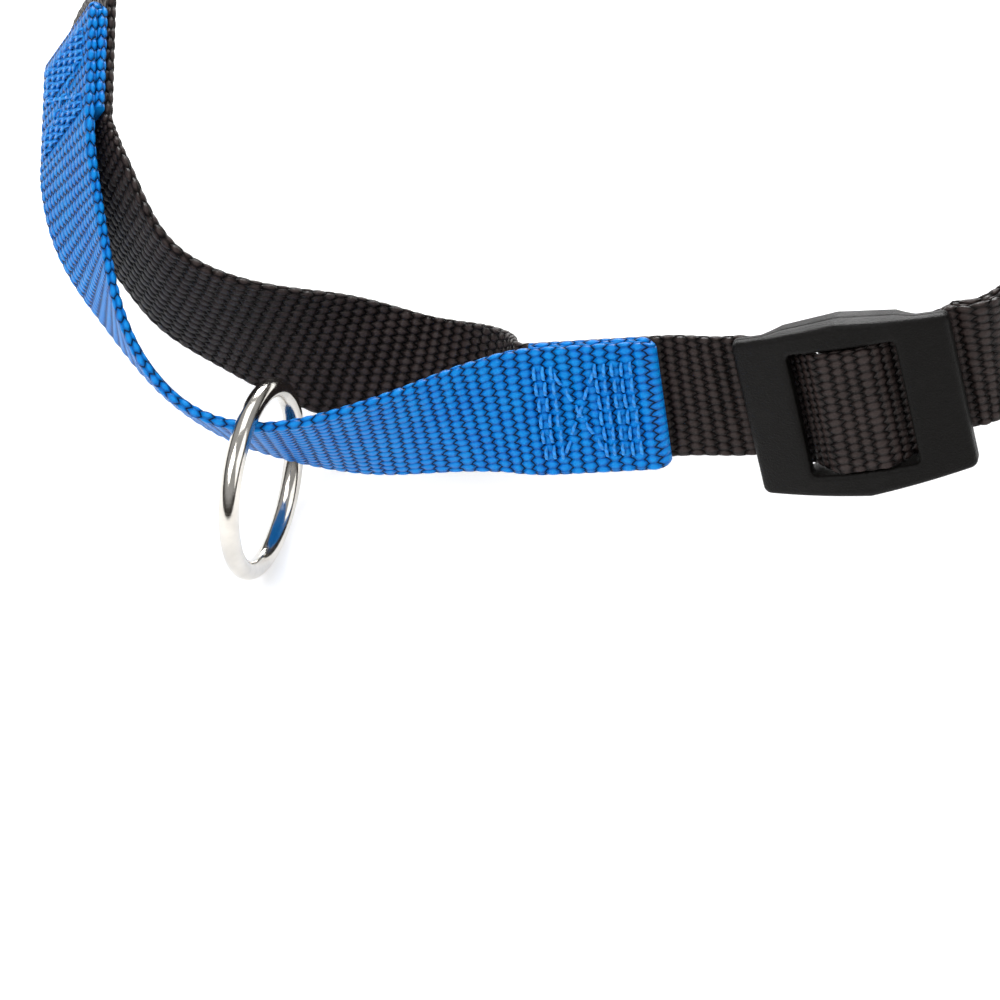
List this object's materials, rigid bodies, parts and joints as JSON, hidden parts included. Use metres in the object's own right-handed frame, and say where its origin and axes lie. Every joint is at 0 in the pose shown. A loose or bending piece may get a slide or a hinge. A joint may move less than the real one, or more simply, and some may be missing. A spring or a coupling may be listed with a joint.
{
  "type": "martingale collar",
  "caption": "Slip-over martingale dog collar of nylon webbing: neck strap, sewn control strap with a pull ring, and a size slider.",
  "frame": {"origin": "middle of the neck opening", "axes": "+Z along the neck towards the head, -Y to the front where the pull ring hangs, +X to the slider's side"},
  "size_m": [0.23, 0.1837, 0.0702],
  "materials": {
    "webbing_black": "coarse woven nylon",
    "webbing_blue": "coarse woven nylon",
    "thread_blue": "sewing thread",
    "thread_black": "sewing thread",
    "nickel": "polished nickel plate",
    "slider_black": "fine satin grain"
  },
  "bodies": {
    "collar": {"neck_strap": "webbing_black", "return_strap": "webbing_black", "control_strap": "webbing_blue", "control_thread_left": "thread_blue", "control_thread_right": "thread_blue", "keeper_loop": "nickel", "keeper_thread": "thread_black"},
    "pull_ring": {"pull_ring": "nickel"},
    "slider": {"slider": "slider_black", "strap_bight": "webbing_black", "sewn_end": "webbing_black", "sewn_end_thread": "thread_black"}
  },
  "joints": [
    {"name": "ring_swing", "type": "hinge", "parent": "collar", "child": "pull_ring", "pos_m": [-0.0646, -0.0742, -0.0142], "axis": [-0.2312, -0.47, 0.8518], "range_deg": [-40, 25]},
    {"name": "slider_travel", "type": "slide", "parent": "collar", "child": "slider", "axis": [0.9553, -0.088, 0.2821], "range_m": [-0.004, 0.005]}
  ]
}
